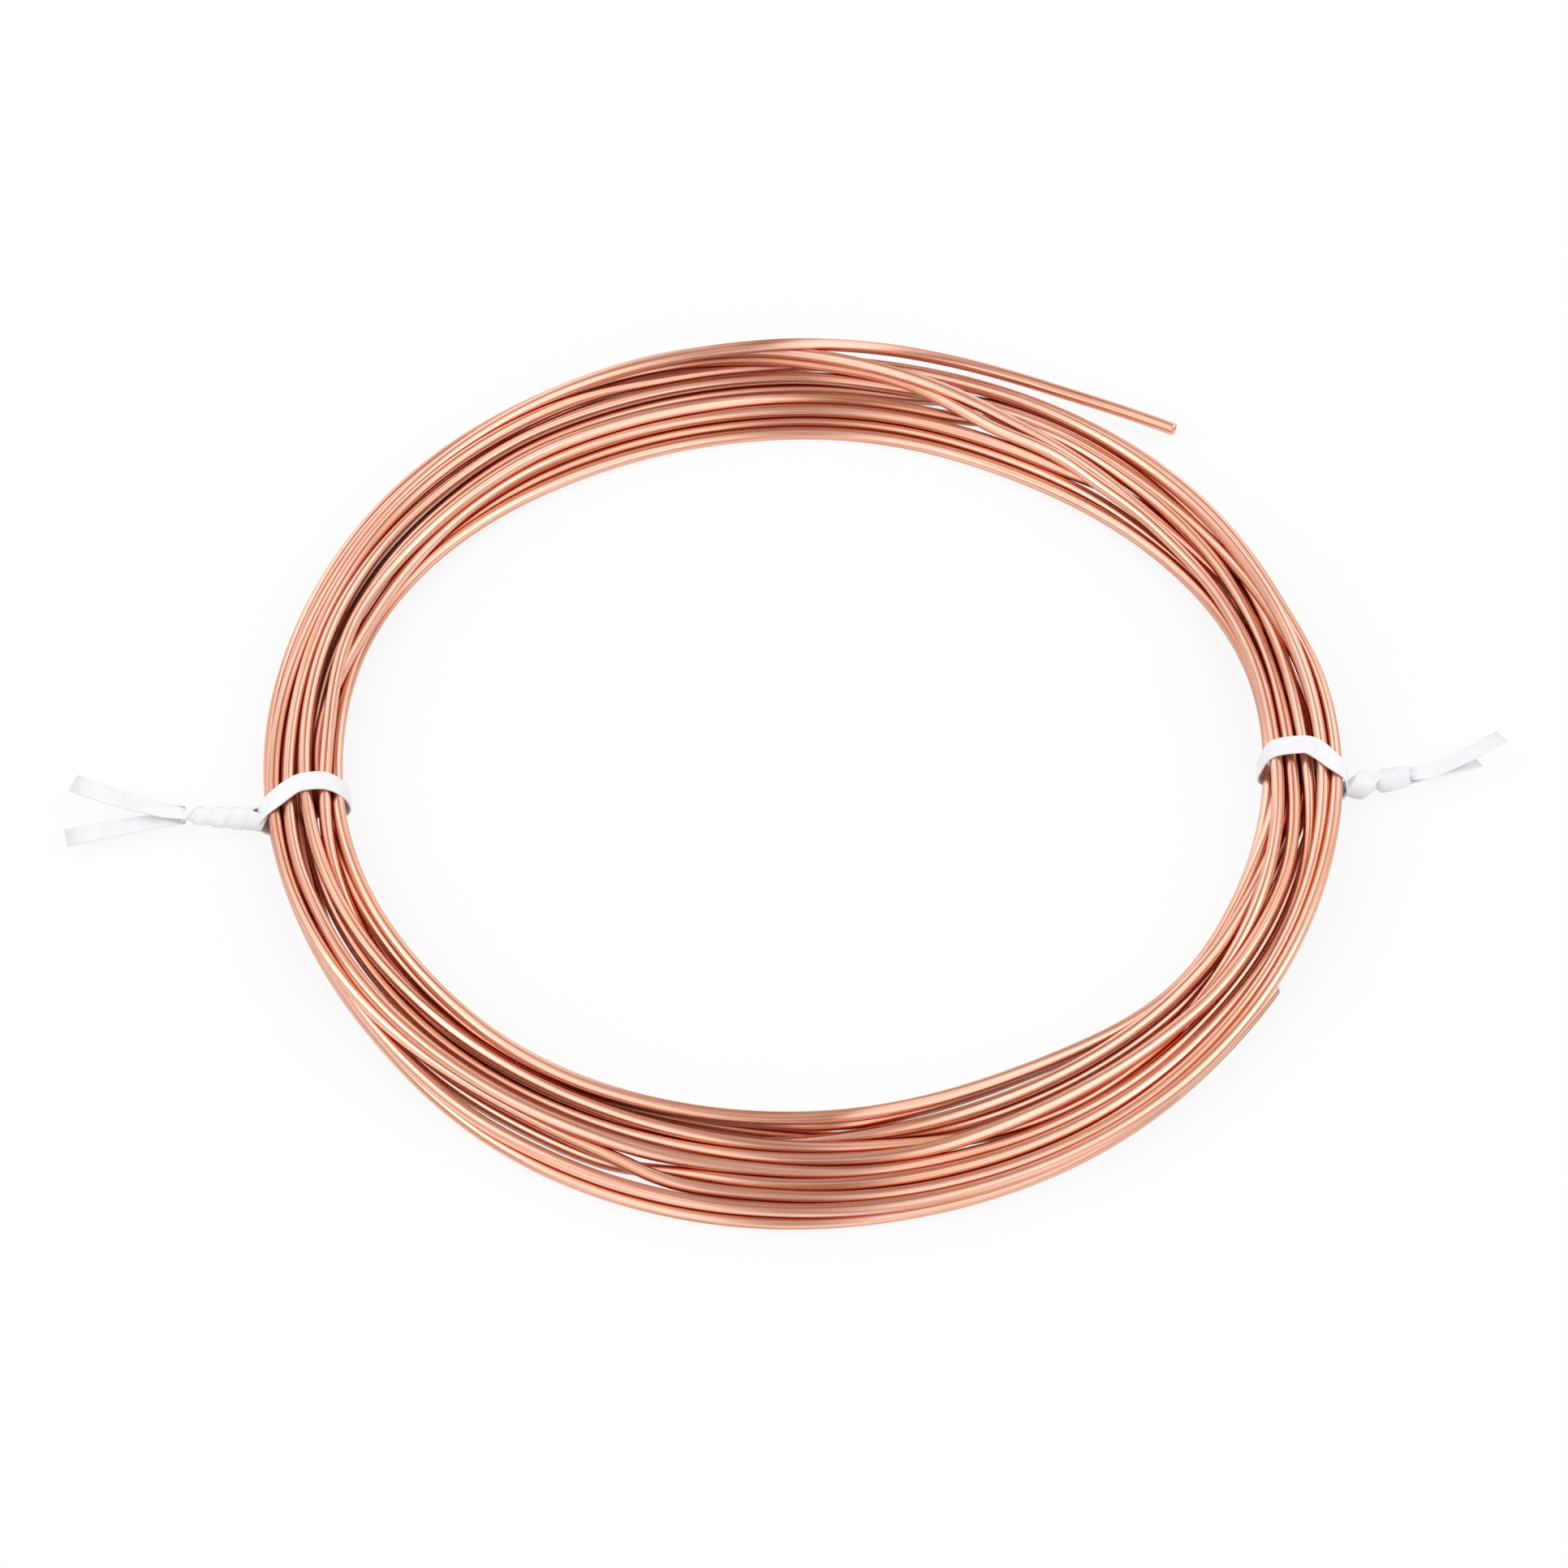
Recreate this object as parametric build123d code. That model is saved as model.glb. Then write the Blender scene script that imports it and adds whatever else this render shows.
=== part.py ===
from build123d import *

import math
import os

# Copper capillary tube, wound by hand into a loose flat ring of eleven turns.
# Two twist ties hold the ring at its left and right.
# Millimetres, +Z up. The origin is the ring's centre, at the height of the floor.

# Tube
tube_od = 2.0
tube_wall = 0.5

# Ring: the turns lie in two layers, the upper ones in the hollows of the lower.
# A laid turn is drawn with this many flats, the topmost and lowest at the tube's full height.
bundle_radius = 74.8
lower_turns = 6
upper_turns = 5
turn_flats = 8

# Free end at the back right, which springs out of the ring with an open mouth.
# Its straight stretch passes this far outside the outermost turn's middle.
tail_stand_off = 4.9
tail_line_angle = 66.8
tail_straight = 28.0
tail_bend_radius = 60.0
tail_root_reach = 1.2

# Last end of the tube, low on the outside at the front right
end_stand_off = 1.4
end_tip_angle = 328.0
end_root_reach = 2.6
end_root_angle = 296.0

# Twist ties: flat plastic strip, once round the bundle and then wound on itself
tie_width = 3.3
tie_thick = 0.5
tie_clearance = 0.15
tie_pinch_reach = 0.8
twist_half_turns = 3
folds_per_half_turn = 6

# Left tie: its bearing on the ring, its twist, and the swing and rise of its free ends
left_bearing = 187.4
left_twist_length = 11.2
left_upper_end_length = 18.0
left_upper_end_turn = (-15.0, 9.0)
left_lower_end_length = 17.0
left_lower_end_turn = (17.0, -3.0)

# Right tie, in the same way
right_bearing = 357.2
right_twist_length = 9.4
right_upper_end_length = 15.2
right_upper_end_turn = (24.0, 8.0)
right_lower_end_length = 11.5
right_lower_end_turn = (12.0, -3.0)

# Heights and places that follow from the sizes above
tube_r = tube_od / 2
bore_r = tube_r - tube_wall
turn_corner_r = tube_r / math.cos(math.pi / turn_flats)
tie_inner_r = turn_corner_r + tie_clearance
tie_outer_r = tie_inner_r + tie_thick
layer_rise = tube_od * math.sin(math.radians(60))
lower_z = tie_outer_r
upper_z = lower_z + layer_rise
middle_z = (lower_z + upper_z) / 2
lower_reach = (lower_turns - 1) / 2 * tube_od
upper_reach = (upper_turns - 1) / 2 * tube_od
outermost_radius = bundle_radius + lower_reach


def polar(radius, angle, height):
    """The point at this distance and bearing from the ring's axis."""
    turn = math.radians(angle)
    return Vector(radius * math.cos(turn), radius * math.sin(turn), height)


def layer_centres(count, height):
    """The centres of one layer's turns, measured from the middle of the bundle."""
    first = -(count - 1) / 2 * tube_od
    return [(first + i * tube_od, height) for i in range(count)]


def bundle_core():
    """The four-cornered figure through the centres of the outermost turns."""
    return make_face(
        Polyline(
            (-lower_reach, lower_z),
            (lower_reach, lower_z),
            (upper_reach, upper_z),
            (-upper_reach, upper_z),
            close=True,
        )
    )


def bundle_section():
    """The outline of the laid turns, with a groove between each two of them."""
    centres = layer_centres(lower_turns, lower_z) + layer_centres(upper_turns, upper_z)
    turn = RegularPolygon(tube_r, turn_flats, major_radius=False, rotation=180 / turn_flats)
    section = bundle_core()
    for centre in centres:
        section += Pos(*centre) * turn
    return section


def tube_along(path, radius):
    """A round bar of this radius along a path."""
    return sweep((path ^ 0) * Circle(radius), path=path)


def free_end_lines():
    """The free end's middle line: straight from its mouth, then bent into the ring."""
    line_radius = outermost_radius + tail_stand_off
    foot = polar(line_radius, tail_line_angle, middle_z)
    inward = polar(1, tail_line_angle + 90, 0)
    straight = Line(foot - inward * tail_straight, foot)
    # The bend's centre, the ring's axis and the bend's root make a triangle
    axis_to_centre = line_radius - tail_bend_radius
    root = bundle_radius + tail_root_reach
    across = root**2 - axis_to_centre**2 - tail_bend_radius**2
    sweep_angle = math.degrees(math.acos(across / (2 * axis_to_centre * tail_bend_radius)))
    return straight, JernArc(foot, inward, tail_bend_radius, sweep_angle)


def last_end_line():
    """The last end's middle line: one straight stretch that comes out of the ring."""
    tip = polar(outermost_radius + end_stand_off, end_tip_angle, lower_z)
    root = polar(bundle_radius + end_root_reach, end_root_angle, middle_z)
    return Line(tip, root)


def copper_tube():
    """The turns as one turned solid, with both ends of the tube and their bores."""
    profile = Plane.XZ * Pos(bundle_radius, 0) * bundle_section()
    coil = revolve(profile, axis=Axis.Z)
    straight, bend = free_end_lines()
    last = last_end_line()
    coil += tube_along(straight + bend, tube_r)
    coil += tube_along(last, tube_r)
    for bored in (straight, last):
        coil -= tube_along(bored, bore_r)
    return coil


def tie_loop():
    """The strip once round the bundle, drawn to a point where its two ends meet."""
    pinch = Pos(lower_reach + tie_outer_r + tie_pinch_reach, middle_z) * Circle(tie_thick)
    above = Pos(upper_reach, upper_z) * Circle(tie_outer_r)
    below = Pos(lower_reach, lower_z) * Circle(tie_outer_r)
    neck = make_hull((pinch + above + below).edges())
    around = offset(bundle_core(), amount=tie_outer_r)
    band = around + neck - offset(bundle_core(), amount=tie_inner_r)
    return extrude(Plane.XZ * band, amount=tie_width / 2, both=True), pinch.center().X


def twisted_pair(length):
    """Both strips wound on each other along +X: a bar that turns in equal folds."""
    folds = twist_half_turns * folds_per_half_turn
    rings = []
    for i in range(folds + 1):
        turn = Rot(math.degrees(math.pi * i / folds_per_half_turn), 0, 0)
        corners = [(tie_width / 2, tie_thick), (-tie_width / 2, tie_thick)]
        corners += [(-y, -z) for y, z in corners]
        rings.append([(Pos(length * i / folds, 0, 0) * turn * Pos(0, y, z)).position for y, z in corners])
    faces = [Face(Wire.make_polygon(rings[0])), Face(Wire.make_polygon(rings[-1]))]
    for near, far in zip(rings, rings[1:]):
        for i in range(4):
            a, b, c, d = near[i - 1], near[i], far[i], far[i - 1]
            faces += [Face(Wire.make_polygon([a, b, c])), Face(Wire.make_polygon([a, c, d]))]
    return Solid(Shell(faces))


def tie_end(length, turn):
    """One free end: a flat strip that swings aside and rises, in degrees."""
    strip = Box(length, tie_width, tie_thick, align=(Align.MIN, Align.CENTER, Align.CENTER))
    swing, rise = turn
    return Rot(0, -rise, swing) * strip


def twist_tie(bearing, twist_length, upper_end, lower_end):
    """One twist tie at its bearing: loop, twisted pair and two free ends."""
    loop, root = tie_loop()
    tie = loop + Pos(root, 0, middle_z) * twisted_pair(twist_length)
    crossing = root + twist_length - tie_width / 2
    tie += Pos(crossing, 0, middle_z + tie_thick / 2) * upper_end
    tie += Pos(crossing, 0, middle_z - tie_thick / 2) * lower_end
    return Rot(0, 0, bearing) * Pos(bundle_radius, 0, 0) * tie


pieces = {
    "copper_tube": copper_tube(),
    "twist_tie_left": twist_tie(
        left_bearing,
        left_twist_length,
        tie_end(left_upper_end_length, left_upper_end_turn),
        tie_end(left_lower_end_length, left_lower_end_turn),
    ),
    "twist_tie_right": twist_tie(
        right_bearing,
        right_twist_length,
        tie_end(right_upper_end_length, right_upper_end_turn),
        tie_end(right_lower_end_length, right_lower_end_turn),
    ),
}

os.makedirs("parts", exist_ok=True)
for name, piece in pieces.items():
    export_step(piece, f"parts/{name}.step")
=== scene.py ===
import math

import bpy
import numpy as np
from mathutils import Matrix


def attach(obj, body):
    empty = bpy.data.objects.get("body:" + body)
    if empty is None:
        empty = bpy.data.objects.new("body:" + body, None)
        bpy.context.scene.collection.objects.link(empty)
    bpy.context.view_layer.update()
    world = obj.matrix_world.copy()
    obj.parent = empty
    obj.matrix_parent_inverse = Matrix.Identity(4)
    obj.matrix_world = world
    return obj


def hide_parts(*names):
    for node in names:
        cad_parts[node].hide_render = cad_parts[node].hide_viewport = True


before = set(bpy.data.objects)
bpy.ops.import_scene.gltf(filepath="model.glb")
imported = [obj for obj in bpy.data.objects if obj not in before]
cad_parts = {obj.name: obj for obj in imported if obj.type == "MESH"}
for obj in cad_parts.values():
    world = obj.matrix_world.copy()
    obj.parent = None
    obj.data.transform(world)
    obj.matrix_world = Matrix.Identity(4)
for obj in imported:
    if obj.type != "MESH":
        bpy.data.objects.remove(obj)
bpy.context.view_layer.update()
bpy.context.scene.view_settings.view_transform = "Standard"

# Camera: the ring lies on a table and is seen from in front and half from above, with a
# long lens. The distance, the height angle and the lens were fitted to the photograph.
camera_rise = math.radians(50.9)
camera_distance = 0.7
ring_middle_height = 2.5  # mm
photo_side = 1932
lens_pixels = 5740
ring_middle_across = 987.5
ring_middle_down = 928

camera_data = bpy.data.cameras.new("camera")
camera = bpy.data.objects.new("camera", camera_data)
bpy.context.scene.collection.objects.link(camera)
camera.location = (
    0,
    -camera_distance * math.cos(camera_rise),
    ring_middle_height / 1000 + camera_distance * math.sin(camera_rise),
)
camera.rotation_euler = (math.pi / 2 - camera_rise, 0, 0)
camera_data.lens = lens_pixels / photo_side * camera_data.sensor_width
camera_data.shift_x = (photo_side / 2 - ring_middle_across) / photo_side
camera_data.shift_y = (ring_middle_down - photo_side / 2) / photo_side
camera_data.clip_start = 0.01
bpy.context.scene.camera = camera


# The wound tube: one length of soft drawn copper capillary tube, 2 mm outside and 1 mm
# inside, bright. It is coiled by hand to a loose ring: the turns pinch together at both
# ties, fan out between them, and cross each other at the back right and at the front.
tube_od = 2.0  # mm
tube_bore = 1.0  # mm

# The tube's whole angle, a step for each degree, from the free end's mouth at the back
# right, through ten whole turns and more, to the last end low at the front right
free_end_angle = 48
last_end_angle = 3928
steps = np.arange(free_end_angle, last_end_angle + 1)

# Stations round the ring, in degrees from the right towards the back. Each turn passes
# all of them, so a column of the two tables is one turn, and the first is the free end's.
stations = np.arange(60, 401, 20)

# Each turn's distance from the ring's middle as the camera sees it, in mm
lanes = np.array([
    [85.3, 80.4, 77.4, 73.5, 81.3, 78.9, 76.1, 71.05, 66.05, 68.5, 74.9],  # 60
    [85.2, 80.9, 77.0, 78.9, 81.5, 76.2, 74.2, 71.7, 65.9, 67.9, 80.0],  # 80
    [84.3, 80.9, 78.0, 82.7, 82.0, 75.8, 74.6, 71.2, 65.8, 68.2, 84.4],  # 100
    [83.4, 81.0, 78.5, 82.6, 79.9, 76.3, 73.9, 72.0, 66.8, 69.3, 83.8],  # 120
    [81.4, 79.9, 77.5, 81.3, 79.0, 75.5, 73.0, 71.6, 68.9, 70.3, 82.6],  # 140
    [79.2, 77.7, 76.0, 78.8, 76.6, 74.4, 73.2, 71.0, 70.4, 71.3, 80.7],  # 160
    [78.8, 76.5, 74.3, 77.9, 75.6, 73.5, 70.8, 72.5, 69.7, 71.6, 79.9],  # 180
    [78.7, 76.6, 73.1, 77.9, 76.4, 74.0, 71.9, 70.5, 69.0, 71.4, 79.2],  # 200
    [77.5, 75.6, 71.6, 79.2, 78.4, 74.0, 72.9, 69.4, 68.0, 71.0, 80.1],  # 220
    [76.4, 75.0, 70.5, 81.2, 78.6, 73.4, 72.4, 68.6, 67.6, 70.0, 83.1],  # 240
    [79.0, 74.8, 70.8, 81.8, 77.8, 73.2, 71.6, 67.2, 66.5, 68.9, 84.3],  # 260
    [80.3, 76.4, 72.2, 82.0, 77.9, 73.6, 69.7, 67.2, 65.8, 71.0, 83.9],  # 280
    [80.2, 76.6, 75.2, 81.6, 78.0, 73.0, 69.0, 67.0, 66.3, 71.8, 83.0],  # 300
    [78.9, 76.5, 73.4, 80.3, 77.5, 73.6, 69.9, 69.9, 69.7, 72.1, 81.4],  # 320
    [78.0, 76.3, 71.7, 79.3, 77.6, 74.4, 71.2, 69.9, 69.7, 73.3, 81.4],  # 340
    [77.4, 77.9, 70.6, 79.5, 74.8, 72.65, 74.1, 70.3, 72.2, 76.0, 81.4],  # 360
    [77.5, 76.9, 71.2, 79.1, 75.95, 73.7, 73.4, 70.1, 71.6, 74.9, 81.4],  # 380
    [79.3, 76.4, 71.4, 80.8, 77.35, 75.0, 73.5, 68.0, 69.6, 72.3, 81.4],  # 400
]).T

# Which turn lies over which where they overlap: the higher number is nearer the camera
order = np.array([
    [3, 6, 6, 9, 3, 5, 7, 7, 7, 6, 8],  # 60
    [3, 3, 6, 9, 2, 2, 5, 6, 6, 5, 8],  # 80
    [1, 3, 6, 8, 2, 2, 6, 6, 6, 5, 7],  # 100
    [1, 6, 7, 7, 1, 3, 7, 5, 7, 3, 5],  # 120
    [2, 5, 8, 6, 1, 5, 8, 6, 7, 3, 4],  # 140
    [4, 6, 7, 5, 2, 4, 8, 8, 5, 2, 4],  # 160
    [7, 8, 8, 2, 2, 3, 8, 5, 6, 2, 2],  # 180
    [9, 8, 8, 2, 2, 3, 4, 5, 8, 1, 2],  # 200
    [9, 7, 8, 3, 2, 5, 2, 7, 7, 4, 5],  # 220
    [5, 7, 7, 6, 6, 6, 3, 6, 8, 4, 3],  # 240
    [3, 6, 5, 6, 7, 6, 6, 6, 7, 2, 3],  # 260
    [4, 2, 2, 7, 7, 7, 6, 6, 7, 3, 4],  # 280
    [5, 5, 1, 6, 7, 7, 7, 6, 7, 4, 4],  # 300
    [6, 8, 2, 5, 5, 8, 8, 2, 3, 5, 2],  # 320
    [7, 5, 8, 6, 2, 8, 2, 1, 7, 3, 2],  # 340
    [8, 2, 7, 4, 8, 8, 2, 1, 2, 2, 2],  # 360
    [8, 3, 8, 4, 9, 8, 1, 4, 2, 2, 2],  # 380
    [7, 5, 8, 4, 8, 8, 2, 6, 5, 7, 2],  # 400
], dtype=float).T
turn_count = len(lanes)
station_angles = (stations + 360 * np.arange(turn_count)[:, None]).ravel()


def run_through(angles, at, values):
    """A smooth curve through the values at the given angles, as cubic arcs.

    Each arc has the slope of the line between its neighbours at both its ends.
    """
    slope = np.gradient(values, at)
    i = np.clip(np.searchsorted(at, angles) - 1, 0, len(at) - 2)
    span = at[i + 1] - at[i]
    s = (angles - at[i]) / span
    return (
        (2 * s**3 - 3 * s**2 + 1) * values[i]
        + (s**3 - 2 * s**2 + s) * span * slope[i]
        + (3 * s**2 - 2 * s**3) * values[i + 1]
        + (s**3 - s**2) * span * slope[i + 1]
    )


def smoothed(values, spread):
    """A running mean with bell-shaped weights, the ends carried on level."""
    away = np.arange(-3 * spread, 3 * spread + 1)
    weights = np.exp(-0.5 * (away / spread) ** 2)
    padded = np.pad(values, 3 * spread, mode="edge")
    return np.convolve(padded, weights / weights.sum(), mode="valid")


# Both tables as smooth runs along the whole tube
table_spread = 4
seen_reach = smoothed(run_through(steps, station_angles, lanes.ravel()), table_spread)
over = smoothed(run_through(steps, station_angles, order.ravel()), table_spread)

# The free end has places of its own: straight at first, then bent in under the next
# turns. Before 112 degrees they pass over into the table's, in 16 degrees.
free_end_angles = np.array([44, 48, 52, 56, 60, 66, 72, 80, 88, 96, 106, 120])
free_end_reaches = np.array([
    90.9, 89.1, 87.6, 86.4, 85.5, 84.9, 84.75, 84.75, 84.5, 84.2, 84.0, 83.4,
])
own_until = 112
own_passes_in = 16
own = np.clip((own_until - steps) / own_passes_in, 0, 1)
own = own**2 * (3 - 2 * own)
free_end_steps = np.minimum(steps, free_end_angles[-1])
free_end_reach = run_through(free_end_steps, free_end_angles, free_end_reaches)
seen_reach = own * free_end_reach + (1 - own) * seen_reach

# How far a height of 1 mm moves a turn outwards in the camera's view
lean = math.cos(camera_rise) / math.sin(camera_rise) * np.sin(np.radians(steps))

# Neighbouring turns look at most this far apart, in mm, where they lie side by side
closed_up = 1.84
closing_sweeps = 80
closing_spread = 3


def drawn_together(seen):
    """The turns' places in the camera's view, with hardly any floor showing between them.

    At each angle, neighbours that are further apart than a tube looks wide move towards
    each other by half of the excess, again and again. The innermost and outermost stay.
    """
    rows = -(-len(steps) // 360)
    unused = np.full(rows * 360 - len(steps), np.nan)
    sheet = np.append(seen, unused).reshape(rows, 360)
    sheet[0, own[:360] > 0] = np.nan
    place = np.argsort(sheet, axis=0)
    lined = np.take_along_axis(sheet, place, axis=0)
    outermost = (np.isfinite(lined).sum(axis=0) - 1)[None]
    innermost_place = lined[:1].copy()
    outermost_place = np.take_along_axis(lined, outermost, axis=0)
    looks_wide = closed_up * np.sqrt(1 + lean[:360] ** 2)
    for sweep in range(closing_sweeps):
        pull = np.nan_to_num(np.maximum(np.diff(lined, axis=0) - looks_wide, 0)) / 2
        lined[:-1] += pull
        lined[1:] -= pull
        lined[:1] = innermost_place
        np.put_along_axis(lined, outermost, outermost_place, axis=0)
    np.put_along_axis(sheet, place, lined, axis=0)
    shift = np.nan_to_num(sheet.ravel()[: len(steps)] - seen)
    return seen + smoothed(shift, closing_spread)


seen_reach = drawn_together(seen_reach)

# Two turns are held in one order where their overlap, in square mm, is more than this.
# A turn that is put over another is moved this far from the two ranks' mean.
held_overlap = 0.8
half_rank = 0.2
order_sweeps = 30


def agreed_order(rank):
    """The turns' order, mended so that it holds along each crossing.

    Where two stretches of tube overlap in the camera's view, the one that is over the
    other for most of the overlap is put over it for all of it. The two keep their mean.
    """
    rank = rank.copy()
    for sweep in range(order_sweeps):
        for turns_apart in range(1, turn_count):
            gap = 360 * turns_apart
            early, late = rank[:-gap], rank[gap:]
            apart = seen_reach[gap:] - seen_reach[:-gap]
            held = (1 + lean[gap:] ** 2) * tube_od**2 - apart**2 > held_overlap
            run = np.cumsum(np.diff(held, prepend=held[:1]))
            side = np.sign(np.bincount(run, late - early))[run]
            wrong = held & (side * (late - early) < 2 * half_rank)
            middle = (early + late) / 2
            late[:] = np.where(wrong, middle + half_rank * side, late)
            early[:] = np.where(wrong, middle - half_rank * side, early)
    return rank


# The ties' bearings, in degrees. There the turns are lifted by the strip under them, and
# the free end starts at a height of its own, in mm, which falls to the floor's by 100.
left_bearing = 187.4
right_bearing = 357.2
tie_lift = 0.84
tie_lift_spread = 6
free_end_height = 2.6
free_end_down_at = 100
free_end_falls_in = 20

# The heights are smoothed by these spreads, in degrees, one after the other
height_spreads = (10, 9, 8, 7, 6, 5, 4)
lifting_sweeps = 6


def heights_of_turns():
    """Each step's height, in mm, with the turns laid over each other in their order.

    A turn over another is as high as it must be for their middles to be one tube apart,
    with its place in the camera's view kept. The heights are then smoothed along the
    tube and lifted again where they touch, until both hold.
    """
    angle = steps % 360
    tied = tie_lift * sum(
        np.exp(-0.5 * (((angle - bearing + 180) % 360 - 180) / tie_lift_spread) ** 2)
        for bearing in (left_bearing, right_bearing)
    )
    held_up = np.clip((free_end_down_at - steps) / free_end_falls_in, 0, 1)
    lowest = tube_od / 2 + tied + (free_end_height - tube_od / 2) * held_up
    rank = agreed_order(over)
    pairs = []
    for turns_apart in range(1, turn_count):
        gap = 360 * turns_apart
        c = lean[gap:]
        apart = seen_reach[gap:] - seen_reach[:-gap]
        inside = (1 + c**2) * tube_od**2 - apart**2
        root = np.sqrt(np.maximum(inside, 0))
        lift_later = (root + c * apart) / (1 + c**2)
        lift_earlier = (root - c * apart) / (1 + c**2)
        pairs.append((gap, inside > 0, rank[gap:] > rank[:-gap], lift_later, lift_earlier))
    height = lowest.copy()
    for spread in height_spreads:
        for sweep in range(lifting_sweeps):
            for gap, touching, later_over, lift_later, lift_earlier in pairs:
                early, late = height[:-gap], height[gap:]
                late_up = touching & later_over
                early_up = touching & ~later_over
                late[:] = np.where(late_up, np.maximum(late, early + lift_later), late)
                early[:] = np.where(early_up, np.maximum(early, late + lift_earlier), early)
        height = np.maximum(smoothed(height, spread), lowest)
    return height


# The tube's middle line, in metres. The saw cut that makes the free end's mouth lies a
# tenth of a step in.
saw_cut = 0.1
height = heights_of_turns()
reach = seen_reach - lean * (height - ring_middle_height)
turn = np.radians(steps)
tube_line = np.stack([reach * np.cos(turn), reach * np.sin(turn), height], axis=1) / 1000
tube_line[0] += saw_cut * (tube_line[1] - tube_line[0])


def unit(vectors):
    """Each vector divided by its length."""
    return vectors / np.linalg.norm(vectors, axis=-1, keepdims=True)


# The cut end, from deep in the bore, over the wall's rounded edge, to the outside: how
# far each ring lies behind the mouth, and its radius, in metres
tube_r = tube_od / 2000
bore_r = tube_bore / 2000
edge_depth = [0.010, 0.0005, 0.00004, 0.0, 0.0, 0.00004, 0.00035]
edge_radius = [
    bore_r,
    bore_r,
    bore_r + 0.00001,
    bore_r + 0.00005,
    tube_r - 0.00006,
    tube_r - 0.00001,
    tube_r,
]
edge_rings = len(edge_depth)


def round_tube(line, sides):
    """A round skin along a line, with an open mouth and a bore at both its ends.

    Each ring is the line's point, plus the radius times the cosine of the turn in the
    sideways direction, plus the radius times its sine in the upward direction. At an end
    the rings go round the wall's edge and back down the bore.
    """
    ahead = unit(np.gradient(line, axis=0))
    start = line[0] + np.outer(edge_depth, ahead[0])
    end = line[-1] - np.outer(edge_depth[::-1], ahead[-1])
    centres = np.concatenate([start, line[1:-1], end])
    first_ahead = np.repeat(ahead[:1], edge_rings, 0)
    last_ahead = np.repeat(ahead[-1:], edge_rings, 0)
    directions = np.concatenate([first_ahead, ahead[1:-1], last_ahead])
    radii = np.concatenate([edge_radius, np.full(len(line) - 2, tube_r), edge_radius[::-1]])
    sideways = unit(np.cross([0.0, 0.0, 1.0], directions))
    upward = np.cross(directions, sideways)
    round_turn = np.arange(sides) * 2 * np.pi / sides
    spoke = (
        np.cos(round_turn)[None, :, None] * sideways[:, None]
        + np.sin(round_turn)[None, :, None] * upward[:, None]
    )
    return centres[:, None] + radii[:, None, None] * spoke


def new_piece(name, skin, material):
    """A closed skin over rings of points: each ring joined to the next, both ends capped.

    The UV map along_and_round holds the metres along the rings' middles, and the share
    of the way round a ring.
    """
    rings, sides = skin.shape[:2]
    ring = np.arange(rings - 1)[:, None] * sides
    side = np.arange(sides)[None, :]
    after = (side + 1) % sides
    corners = [ring + side, ring + after, ring + sides + after, ring + sides + side]
    quads = np.stack(corners, axis=-1).reshape(-1, 4)
    first_cap = list(range(sides))[::-1]
    last_cap = [(rings - 1) * sides + i for i in range(sides)]
    mesh = bpy.data.meshes.new(name)
    faces = quads.tolist() + [first_cap, last_cap]
    mesh.from_pydata(skin.reshape(-1, 3).tolist(), [], faces)
    mesh.validate()
    mesh.polygons.foreach_set("use_smooth", np.ones(len(mesh.polygons), dtype=bool))

    middles = skin.mean(axis=1)
    far = np.append(0, np.cumsum(np.linalg.norm(np.diff(middles, axis=0), axis=1)))
    corner_ring = np.arange(rings - 1)[:, None, None] + np.array([0, 0, 1, 1])
    corner_side = side[..., None] + np.array([0, 1, 1, 0])
    u, v = np.broadcast_arrays(far[corner_ring], corner_side / sides)
    on_caps = np.zeros((2 * sides, 2))
    uv = np.concatenate([np.stack([u.ravel(), v.ravel()], axis=1), on_caps])
    layer = mesh.uv_layers.new(name="along_and_round")
    layer.data.foreach_set("uv", uv.astype(np.float32).ravel())

    mesh.materials.append(material)
    piece = bpy.data.objects.new(name, mesh)
    bpy.context.scene.collection.objects.link(piece)
    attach(piece, "root")
    return piece


def maths(nodes, operation, *numbers):
    """A node that works out a number. Its second and third number may be given here."""
    made = nodes.new("ShaderNodeMath")
    made.operation = operation
    for i, number in enumerate(numbers):
        made.inputs[i + 1].default_value = number
    return made


def noise(nodes, scale, detail):
    """A cloudy pattern that repeats this often in a metre of the place wired into it."""
    made = nodes.new("ShaderNodeTexNoise")
    made.inputs["Scale"].default_value = scale
    made.inputs["Detail"].default_value = detail
    return made


def stretched(nodes, scale):
    """The place wired into it, drawn out or closed up along each axis."""
    made = nodes.new("ShaderNodeMapping")
    made.inputs["Scale"].default_value = scale
    return made


def mapped(nodes, seen_low, seen_high, low, high):
    """A number carried from one range to another, and held inside it."""
    made = nodes.new("ShaderNodeMapRange")
    made.inputs["From Min"].default_value = seen_low
    made.inputs["From Max"].default_value = seen_high
    made.inputs["To Min"].default_value = low
    made.inputs["To Max"].default_value = high
    return made


def colour_mix(nodes, **colours):
    """Two colours, A and B, mixed by the Factor. What isn't given here is wired in."""
    made = nodes.new("ShaderNodeMix")
    made.data_type = "RGBA"
    for socket, colour in colours.items():
        made.inputs[socket].default_value = (*colour, 1)
    return made


def bump(nodes, strength, distance):
    """Relief from the height that is wired into it."""
    made = nodes.new("ShaderNodeBump")
    made.inputs["Strength"].default_value = strength
    made.inputs["Distance"].default_value = distance
    return made


def wire(nodes, links):
    """Joins the sockets of a material's nodes, in pairs."""
    for source, target in links:
        nodes.id_data.links.new(source, target)


# Bright copper: warm, a little redder or paler from place to place, with the fine
# lengthwise lines that the drawing die leaves.
copper = bpy.data.materials.new("copper")
copper.use_nodes = True
nodes = copper.node_tree.nodes
metal = nodes["Principled BSDF"]
metal.inputs["Metallic"].default_value = 1.0

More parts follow.
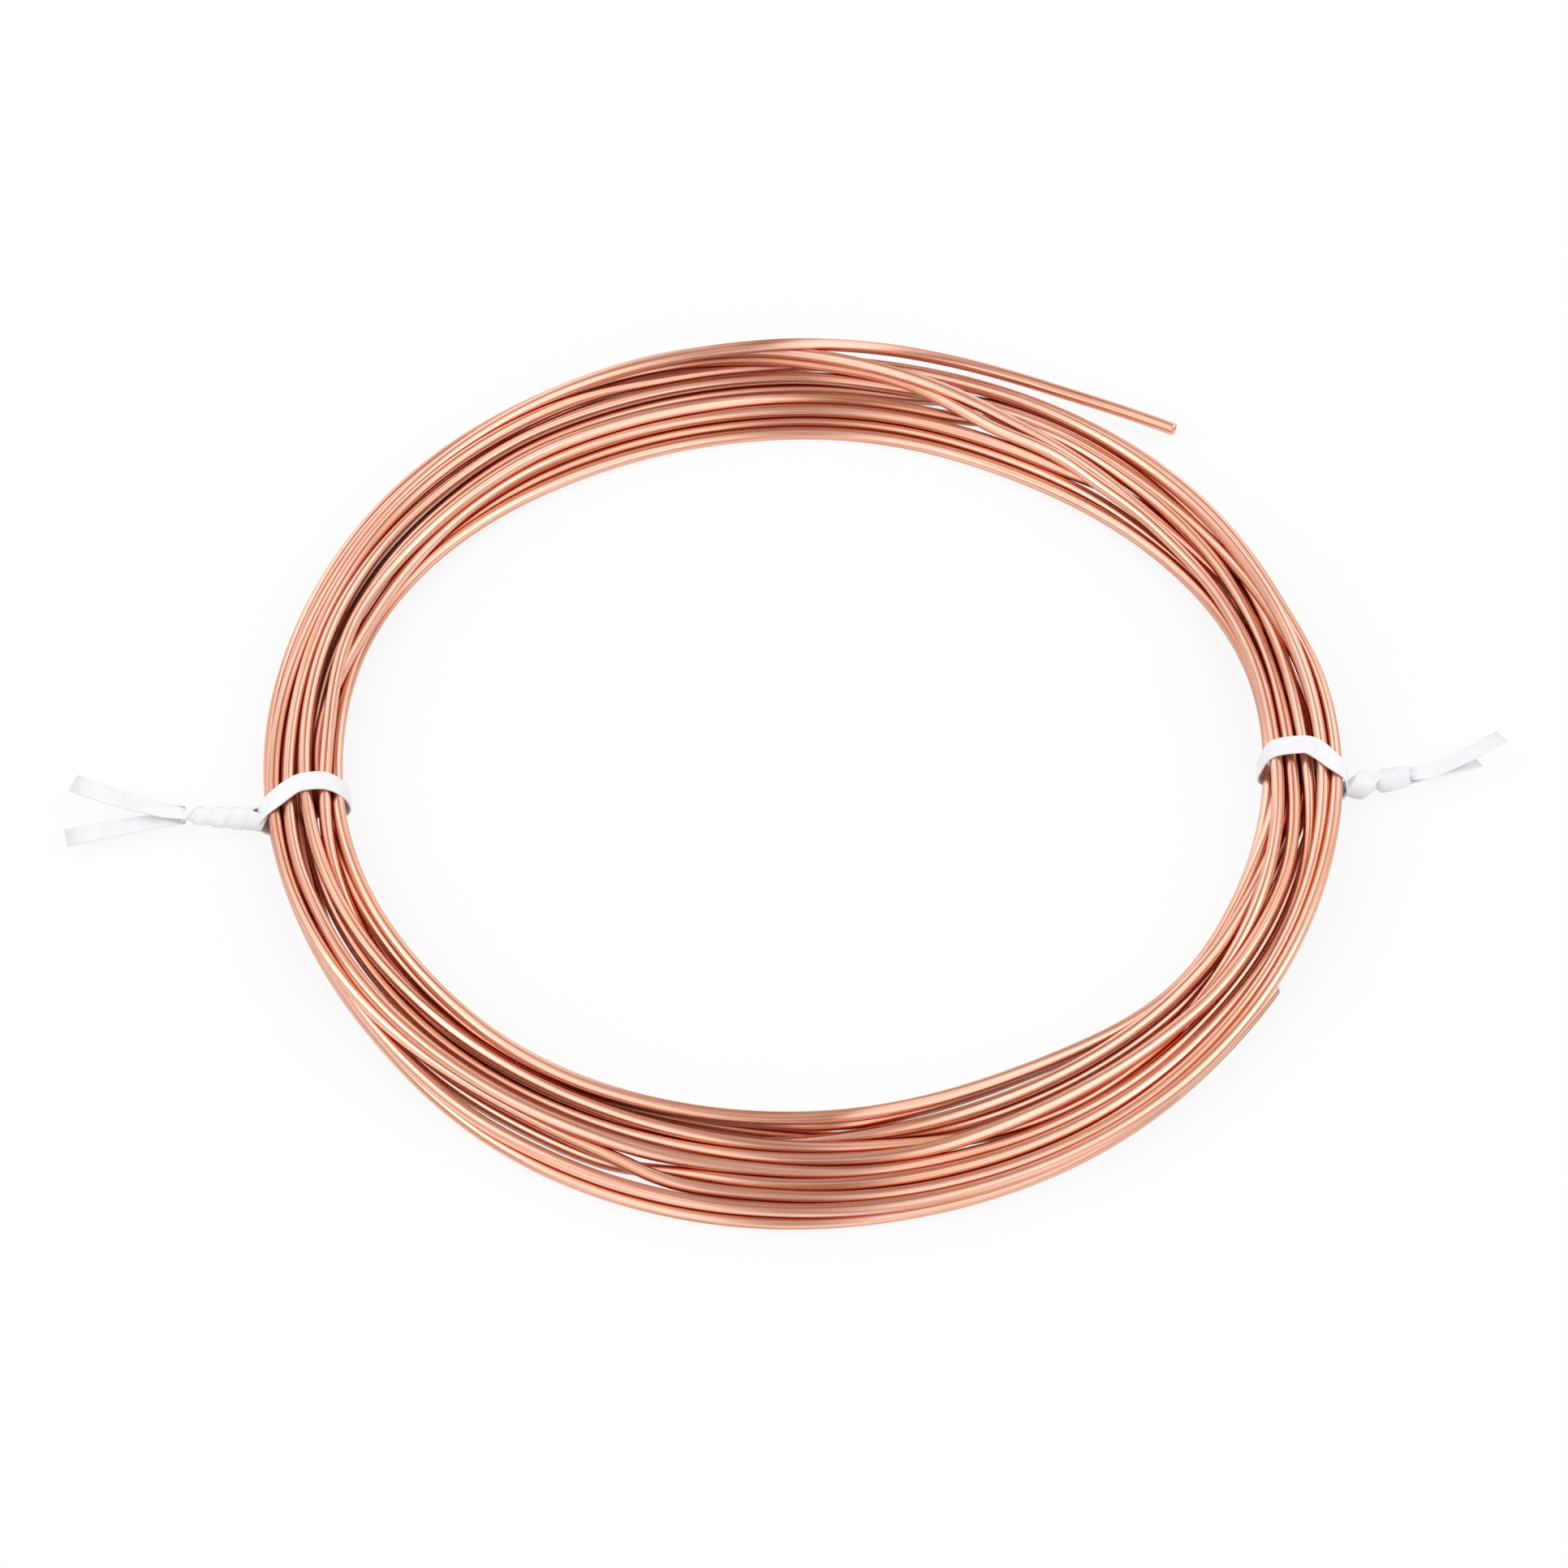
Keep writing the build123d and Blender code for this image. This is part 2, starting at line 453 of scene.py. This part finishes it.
# The place on the tube: the metres along it, and the turn round it laid on a circle
uv_place = nodes.new("ShaderNodeUVMap")
uv_place.uv_map = "along_and_round"
along_round = nodes.new("ShaderNodeSeparateXYZ")
whole_turn = maths(nodes, "MULTIPLY", 2 * math.pi)
cosine = maths(nodes, "COSINE")
sine = maths(nodes, "SINE")
on_tube = nodes.new("ShaderNodeCombineXYZ")

# Die lines, which change the polish and can just be felt
die_place = stretched(nodes, (40.0, 9.0, 9.0))
die_lines = noise(nodes, 1.0, 4.0)
polish = mapped(nodes, 0.0, 1.0, 0.19, 0.34)
grain = bump(nodes, 0.12, 0.00002)

# Paler and redder patches, and darker brown streaks along the tube
body_place = nodes.new("ShaderNodeTexCoord")
patches = noise(nodes, 45.0, 3.0)
shade = colour_mix(nodes, A=(0.90, 0.50, 0.36), B=(0.96, 0.66, 0.54))
streak_place = stretched(nodes, (22.0, 2.2, 2.2))
streaks = noise(nodes, 1.0, 3.0)
streak_edge = mapped(nodes, 0.45, 0.60, 0.0, 0.85)
streaked = colour_mix(nodes, B=(0.62, 0.28, 0.18))

# Painted shade: the colour darkens to a deep red where the turns lie close together, in
# place of the shade between them
hidden = nodes.new("ShaderNodeAmbientOcclusion")
hidden.only_local = True
hidden.samples = 6
hidden.inputs["Distance"].default_value = 0.0016
between = mapped(nodes, 0.2, 0.75, 0.0, 1.0)
painted_crevice_shade = colour_mix(nodes, A=(0.62, 0.15, 0.07))

wire(nodes, [
    (uv_place.outputs["UV"], along_round.inputs["Vector"]),
    (along_round.outputs["Y"], whole_turn.inputs[0]),
    (whole_turn.outputs["Value"], cosine.inputs[0]),
    (whole_turn.outputs["Value"], sine.inputs[0]),
    (along_round.outputs["X"], on_tube.inputs["X"]),
    (cosine.outputs["Value"], on_tube.inputs["Y"]),
    (sine.outputs["Value"], on_tube.inputs["Z"]),
    (on_tube.outputs["Vector"], die_place.inputs["Vector"]),
    (die_place.outputs["Vector"], die_lines.inputs["Vector"]),
    (die_lines.outputs["Fac"], polish.inputs["Value"]),
    (polish.outputs["Result"], metal.inputs["Roughness"]),
    (die_lines.outputs["Fac"], grain.inputs["Height"]),
    (grain.outputs["Normal"], metal.inputs["Normal"]),
    (body_place.outputs["Object"], patches.inputs["Vector"]),
    (patches.outputs["Fac"], shade.inputs["Factor"]),
    (on_tube.outputs["Vector"], streak_place.inputs["Vector"]),
    (streak_place.outputs["Vector"], streaks.inputs["Vector"]),
    (streaks.outputs["Fac"], streak_edge.inputs["Value"]),
    (streak_edge.outputs["Result"], streaked.inputs["Factor"]),
    (shade.outputs["Result"], streaked.inputs["A"]),
    # The painted crevice shade grows as the tube's own turns close in round a point
    (hidden.outputs["AO"], between.inputs["Value"]),
    (between.outputs["Result"], painted_crevice_shade.inputs["Factor"]),
    (streaked.outputs["Result"], painted_crevice_shade.inputs["B"]),
    (painted_crevice_shade.outputs["Result"], metal.inputs["Base Color"]),
])

tube_sides = 16
coil = new_piece("wound_tube", round_tube(tube_line, tube_sides), copper)
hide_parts("copper_tube")


# The twist ties: flat strips of white plastic over a thin wire, one at the left and one
# at the right. Each goes once round the turns, its two ends are wound on each other on
# the outer side, and what is left of them stands off in a narrow V.
strip_width = 0.0033
strip_half_thick = 0.0002
strip_sides = 16
wire_rib = 0.00016
wire_rib_spread = 0.0004
edge_roundness = 0.6
face_flatness = 0.35

# Where the two ends meet: its distance from the ring's middle and its height, in mm
root_reach = 81.2
root_height = 2.6


def strip_skin(line, across, fold):
    """A flat strip along a line, with a low rib in its middle where the wire runs.

    The section is a flat loop: its width follows the cosine of the turn, squared off,
    and its thickness the sine, with a bell-shaped rise at the middle. The fold is the
    share of its width that the strip keeps at each point.
    """
    ahead = unit(np.gradient(line, axis=0))
    across = unit(across - ahead * np.sum(across * ahead, axis=1, keepdims=True))
    out = np.cross(ahead, across)
    turn = (np.arange(strip_sides) + 0.5) * 2 * np.pi / strip_sides
    cosine, sine = np.cos(turn), np.sin(turn)
    wide = np.sign(cosine) * np.abs(cosine) ** edge_roundness * strip_width / 2
    thick = np.sign(sine) * np.abs(sine) ** face_flatness * strip_half_thick
    thick = thick + np.sign(thick) * wire_rib * np.exp(-((wide / wire_rib_spread) ** 2))
    sideways = fold[:, None, None] * wide[None, :, None] * across[:, None]
    return line[:, None] + sideways + thick[None, :, None] * out[:, None]


def even_points(points, count):
    """The same line with its points at equal distances."""
    far = np.append(0, np.cumsum(np.linalg.norm(np.diff(points, axis=0), axis=1)))
    at = np.linspace(0, far[-1], count)
    return np.stack([np.interp(at, far, column) for column in points.T], axis=1)


# How far the strip's middle stays from the middle of a turn that it lies on, from the
# root, and from a slack place inside the ring, where it is drawn less tight, all in mm
clear_of_turn = 1.42
clear_of_root = 0.35
clear_of_slack = 1.5
slack_inside = 0.5
slack_height = 2.2
loop_directions = 721
loop_points = 180
loop_spread = 5


def loop_line(bearing):
    """The strip's tight line round the turns at this bearing, in reach and height, in mm.

    In each direction the strip lies against the turn that stands out furthest, and the
    root and the slack place count as two more things to go round.
    """
    here = (steps % 360) == int(round(bearing)) % 360
    held_reach = np.append(reach[here], [root_reach, reach[here].min() - slack_inside])
    held_height = np.append(height[here], [root_height, slack_height])
    clear = np.append(np.full(here.sum(), clear_of_turn), [clear_of_root, clear_of_slack])
    turn = np.linspace(0, 2 * np.pi, loop_directions)[:, None]
    stand_out = held_reach * np.cos(turn) + held_height * np.sin(turn) + clear
    i = np.argmax(stand_out, axis=1)
    turn = turn[:, 0]
    round_reach = held_reach[i] + clear[i] * np.cos(turn)
    round_height = held_height[i] + clear[i] * np.sin(turn)
    line = even_points(np.stack([round_reach, round_height], axis=1), loop_points)
    return np.stack([smoothed(column, loop_spread) for column in line.T], axis=1)


# The bundle's middle and half its width, in mm, and how far the loop's inner side comes
# to the front, in metres
bundle_reach = 74.8
bundle_half_width = 6
inner_droop = 0.0008

# The wound strips' distance from the twist's axis where they are tightest, in metres,
# how full a lobe is, and the share of its width that a strip keeps when folded tight
tightest_radius = 0.00045
lobe_fullness = 0.7
fold_tight = 0.75
fold_open = 0.25

# How far an end runs on straight where it leaves the twist, in lengths of the twist, and
# where it arrives at its tip, in shares of the way
leaves_straight = 0.5
arrives_straight = 0.35
twist_points = 90
tail_points = 50
end_points = 160


def twist_tie(
    side,
    bearing,
    crest,
    slant,
    twist_length,
    ends,
    half_turns,
    lobes,
    first_lobe,
    lobe_size,
    tilt,
):
    """One tie: the loop, then two strips that wind on each other and part.

    The loop bulges to the back by crest and falls away to the front by slant, as the
    square of a sine, on its outer half. Each strip winds round the twist's axis at a
    radius that swells by lobe_size as the sine of its lobes, and its width lies along
    the winding. It then runs on in an eased curve to its end and turns flat, by tilt.
    """
    angle = math.radians(bearing)
    outward = np.array([math.cos(angle), math.sin(angle), 0.0])
    sideward = np.array([-math.sin(angle), math.cos(angle), 0.0])
    up = np.array([0.0, 0.0, 1.0])

    flat = loop_line(bearing)
    loop = (flat[:, :1] * outward + flat[:, 1:] * up) / 1000
    outer_half = np.clip((flat[:, 0] - bundle_reach) / bundle_half_width, 0, 1)
    inner_half = np.clip((bundle_reach - flat[:, 0]) / bundle_half_width, 0, 1)
    falls_away = slant * np.sin(np.pi / 2 * outer_half) ** 2
    loop[:, 1] += crest - falls_away - inner_droop * inner_half**2
    loop_across = np.repeat(sideward[None], len(loop), 0)
    skins = [strip_skin(loop, loop_across, np.ones(len(loop)))]

    meeting = (root_reach * outward + root_height * up) / 1000
    root = meeting + np.array([0.0, crest - slant, 0.0])
    knot_end = meeting + twist_length * outward
    flat_lay = np.array([0.0, math.cos(tilt), math.sin(tilt)])
    for strand, end in enumerate(ends):
        s = np.linspace(0, 1, twist_points)[:, None]
        wound = np.pi * (half_turns * s + strand)
        swell = np.abs(np.sin(np.pi * (lobes * s + first_lobe))) ** lobe_fullness
        radius = tightest_radius + lobe_size * swell
        centre = root + s * (knot_end - root)
        twist = centre + radius * (np.sin(wound) * sideward + np.cos(wound) * up)
        lay = np.cos(wound) * sideward - np.sin(wound) * up

        t = np.linspace(0, 1, tail_points)[1:, None]
        way = np.array(end) - twist[-1]
        leave = twist[-1] + t * twist_length * leaves_straight * outward
        arrive = np.array(end) - (1 - t) * arrives_straight * way
        blend = t**2 * (3 - 2 * t)
        tail = (1 - blend) * leave + blend * arrive
        lay_tail = (1 - blend) * lay[-1] + blend * flat_lay * np.sign(lay[-1] @ flat_lay)

        wound_part = np.concatenate([twist, lay, fold_tight + fold_open * swell], axis=1)
        tail_part = np.concatenate([tail, lay_tail, fold_tight + fold_open * blend], axis=1)
        line = even_points(np.concatenate([wound_part, tail_part]), end_points)
        skins.append(strip_skin(line[:, :3], line[:, 3:6], line[:, 6]))

    pieces = [
        new_piece(f"tie_{side}_{part}", skin, white_strip)
        for part, skin in zip(("loop", "upper_end", "lower_end"), skins)
    ]
    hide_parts(f"twist_tie_{side}")


# White plastic strip: satin, a little bluish and see-through, finely crumpled, with painted
# shade, a darker grey-blue, in the hollows of its creases
white_strip = bpy.data.materials.new("white_strip")
white_strip.use_nodes = True
nodes = white_strip.node_tree.nodes
plastic = nodes["Principled BSDF"]
plastic.inputs["Subsurface Weight"].default_value = 0.15
plastic.inputs["Subsurface Scale"].default_value = 0.0006
body_place = nodes.new("ShaderNodeTexCoord")
creases = noise(nodes, 700.0, 5.0)
crease_shade_tint = colour_mix(nodes, A=(0.72, 0.74, 0.80), B=(0.85, 0.87, 0.91))
satin = mapped(nodes, 0.0, 1.0, 0.32, 0.5)
wrinkle = bump(nodes, 0.55, 0.00018)
wire(nodes, [
    (body_place.outputs["Object"], creases.inputs["Vector"]),
    # Where the creases' bump is low the strip takes the darker grey-blue: painted shade in
    # the hollows
    (creases.outputs["Fac"], crease_shade_tint.inputs["Factor"]),
    (crease_shade_tint.outputs["Result"], plastic.inputs["Base Color"]),
    (creases.outputs["Fac"], satin.inputs["Value"]),
    (satin.outputs["Result"], plastic.inputs["Roughness"]),
    (creases.outputs["Fac"], wrinkle.inputs["Height"]),
    (wrinkle.outputs["Normal"], plastic.inputs["Normal"]),
])

# The left tie's twist is thickest at the ring and thins outwards. The right one has two
# knots in it.
twist_tie(
    "left",
    bearing=left_bearing,
    crest=0.0004,
    slant=0.0027,
    twist_length=0.0113,
    ends=[(-0.1084, -0.0078, 0.005), (-0.109, -0.016, 0.0022)],
    half_turns=4.0,
    lobes=0.5,
    first_lobe=0.5,
    lobe_size=0.0010,
    tilt=0.0,
)
twist_tie(
    "right",
    bearing=right_bearing,
    crest=0.0008,
    slant=0.0038,
    twist_length=0.0098,
    ends=[(0.105, 0.0012, 0.005), (0.1014, -0.0008, 0.0018)],
    half_turns=3.0,
    lobes=2.0,
    first_lobe=0.0,
    lobe_size=0.0011,
    tilt=-0.26,
)


# Floor and light: a white table under two wide soft lights, left and right, with a
# darker strip between them where the camera stands, as in a photographer's tent.
floor_half = 3.0
floor_mesh = bpy.data.meshes.new("floor")
floor_mesh.from_pydata(
    [
        (-floor_half, -floor_half, 0),
        (floor_half, -floor_half, 0),
        (floor_half, floor_half, 0),
        (-floor_half, floor_half, 0),
    ],
    [],
    [(0, 1, 2, 3)],
)
floor = bpy.data.objects.new("floor", floor_mesh)
bpy.context.scene.collection.objects.link(floor)

# The table looks plain white to the camera and a little so in the metal, and it keeps
# part of the coil's shadow
shown_white = 0.85
white_in_metal = 0.2
table_white = bpy.data.materials.new("table_white")
table_white.use_nodes = True
nodes = table_white.node_tree.nodes
nodes.clear()
surface = nodes.new("ShaderNodeOutputMaterial")
matt = nodes.new("ShaderNodeBsdfDiffuse")
matt.inputs["Color"].default_value = (0.85, 0.85, 0.85, 1)
plain = nodes.new("ShaderNodeEmission")
ray = nodes.new("ShaderNodeLightPath")
in_metal = maths(nodes, "MULTIPLY", white_in_metal)
seen = maths(nodes, "MAXIMUM")
share = maths(nodes, "MULTIPLY", shown_white)
both = nodes.new("ShaderNodeMixShader")
wire(nodes, [
    (ray.outputs["Is Camera Ray"], seen.inputs[0]),
    (ray.outputs["Is Glossy Ray"], in_metal.inputs[0]),
    (in_metal.outputs["Value"], seen.inputs[1]),
    (seen.outputs["Value"], share.inputs[0]),
    (share.outputs["Value"], both.inputs["Fac"]),
    (matt.outputs["BSDF"], both.inputs[1]),
    (plain.outputs["Emission"], both.inputs[2]),
    (both.outputs["Shader"], surface.inputs["Surface"]),
])
floor_mesh.materials.append(table_white)

# The tent's walls, by how far they lie to the side: dark in the middle, then the two
# bright panels, then greyer. The camera sees plain white in their place.
wall_strength = 1.45
white_strength = 1.0
world = bpy.data.worlds.new("tent")
bpy.context.scene.world = world
world.use_nodes = True
nodes = world.node_tree.nodes
sky = nodes["Background"]
direction = nodes.new("ShaderNodeTexCoord")
split = nodes.new("ShaderNodeSeparateXYZ")
sideness = maths(nodes, "ABSOLUTE")
panel = nodes.new("ShaderNodeValToRGB")
panel.color_ramp.interpolation = "EASE"
for at, colour in (
    (0.0, (0.20, 0.10, 0.065)),
    (0.09, (0.34, 0.22, 0.17)),
    (0.28, (1.0, 1.0, 1.0)),
    (0.66, (0.9, 0.9, 0.9)),
    (0.9, (0.42, 0.38, 0.36)),
):
    stop = panel.color_ramp.elements.new(at)
    stop.color = (*colour, 1)
panel.color_ramp.elements.remove(panel.color_ramp.elements[0])
panel.color_ramp.elements[-1].color = (0.3, 0.26, 0.24, 1)
ray = nodes.new("ShaderNodeLightPath")
behind = colour_mix(nodes, B=(1, 1, 1))
level = maths(nodes, "MULTIPLY_ADD", white_strength - wall_strength, wall_strength)
wire(nodes, [
    (direction.outputs["Generated"], split.inputs["Vector"]),
    (split.outputs["X"], sideness.inputs[0]),
    (sideness.outputs["Value"], panel.inputs["Fac"]),
    (panel.outputs["Color"], behind.inputs["A"]),
    (ray.outputs["Is Camera Ray"], behind.inputs["Factor"]),
    (behind.outputs["Result"], sky.inputs["Color"]),
    (ray.outputs["Is Camera Ray"], level.inputs[0]),
    (level.outputs["Value"], sky.inputs["Strength"]),
])

# One lamp at each side, above the table and turned in to the ring
lamp_size = 0.6
lamp_power = 1.4
for name, lamp_place in (
    ("left_light", (-0.75, -0.1, 0.55)),
    ("right_light", (0.75, -0.1, 0.55)),
):
    lamp_data = bpy.data.lights.new(name, "AREA")
    lamp_data.size = lamp_size
    lamp_data.energy = lamp_power
    lamp = bpy.data.objects.new(name, lamp_data)
    bpy.context.scene.collection.objects.link(lamp)
    lamp.location = lamp_place
    lamp.rotation_euler = (0, math.atan2(lamp_place[0], lamp_place[2]), 0)
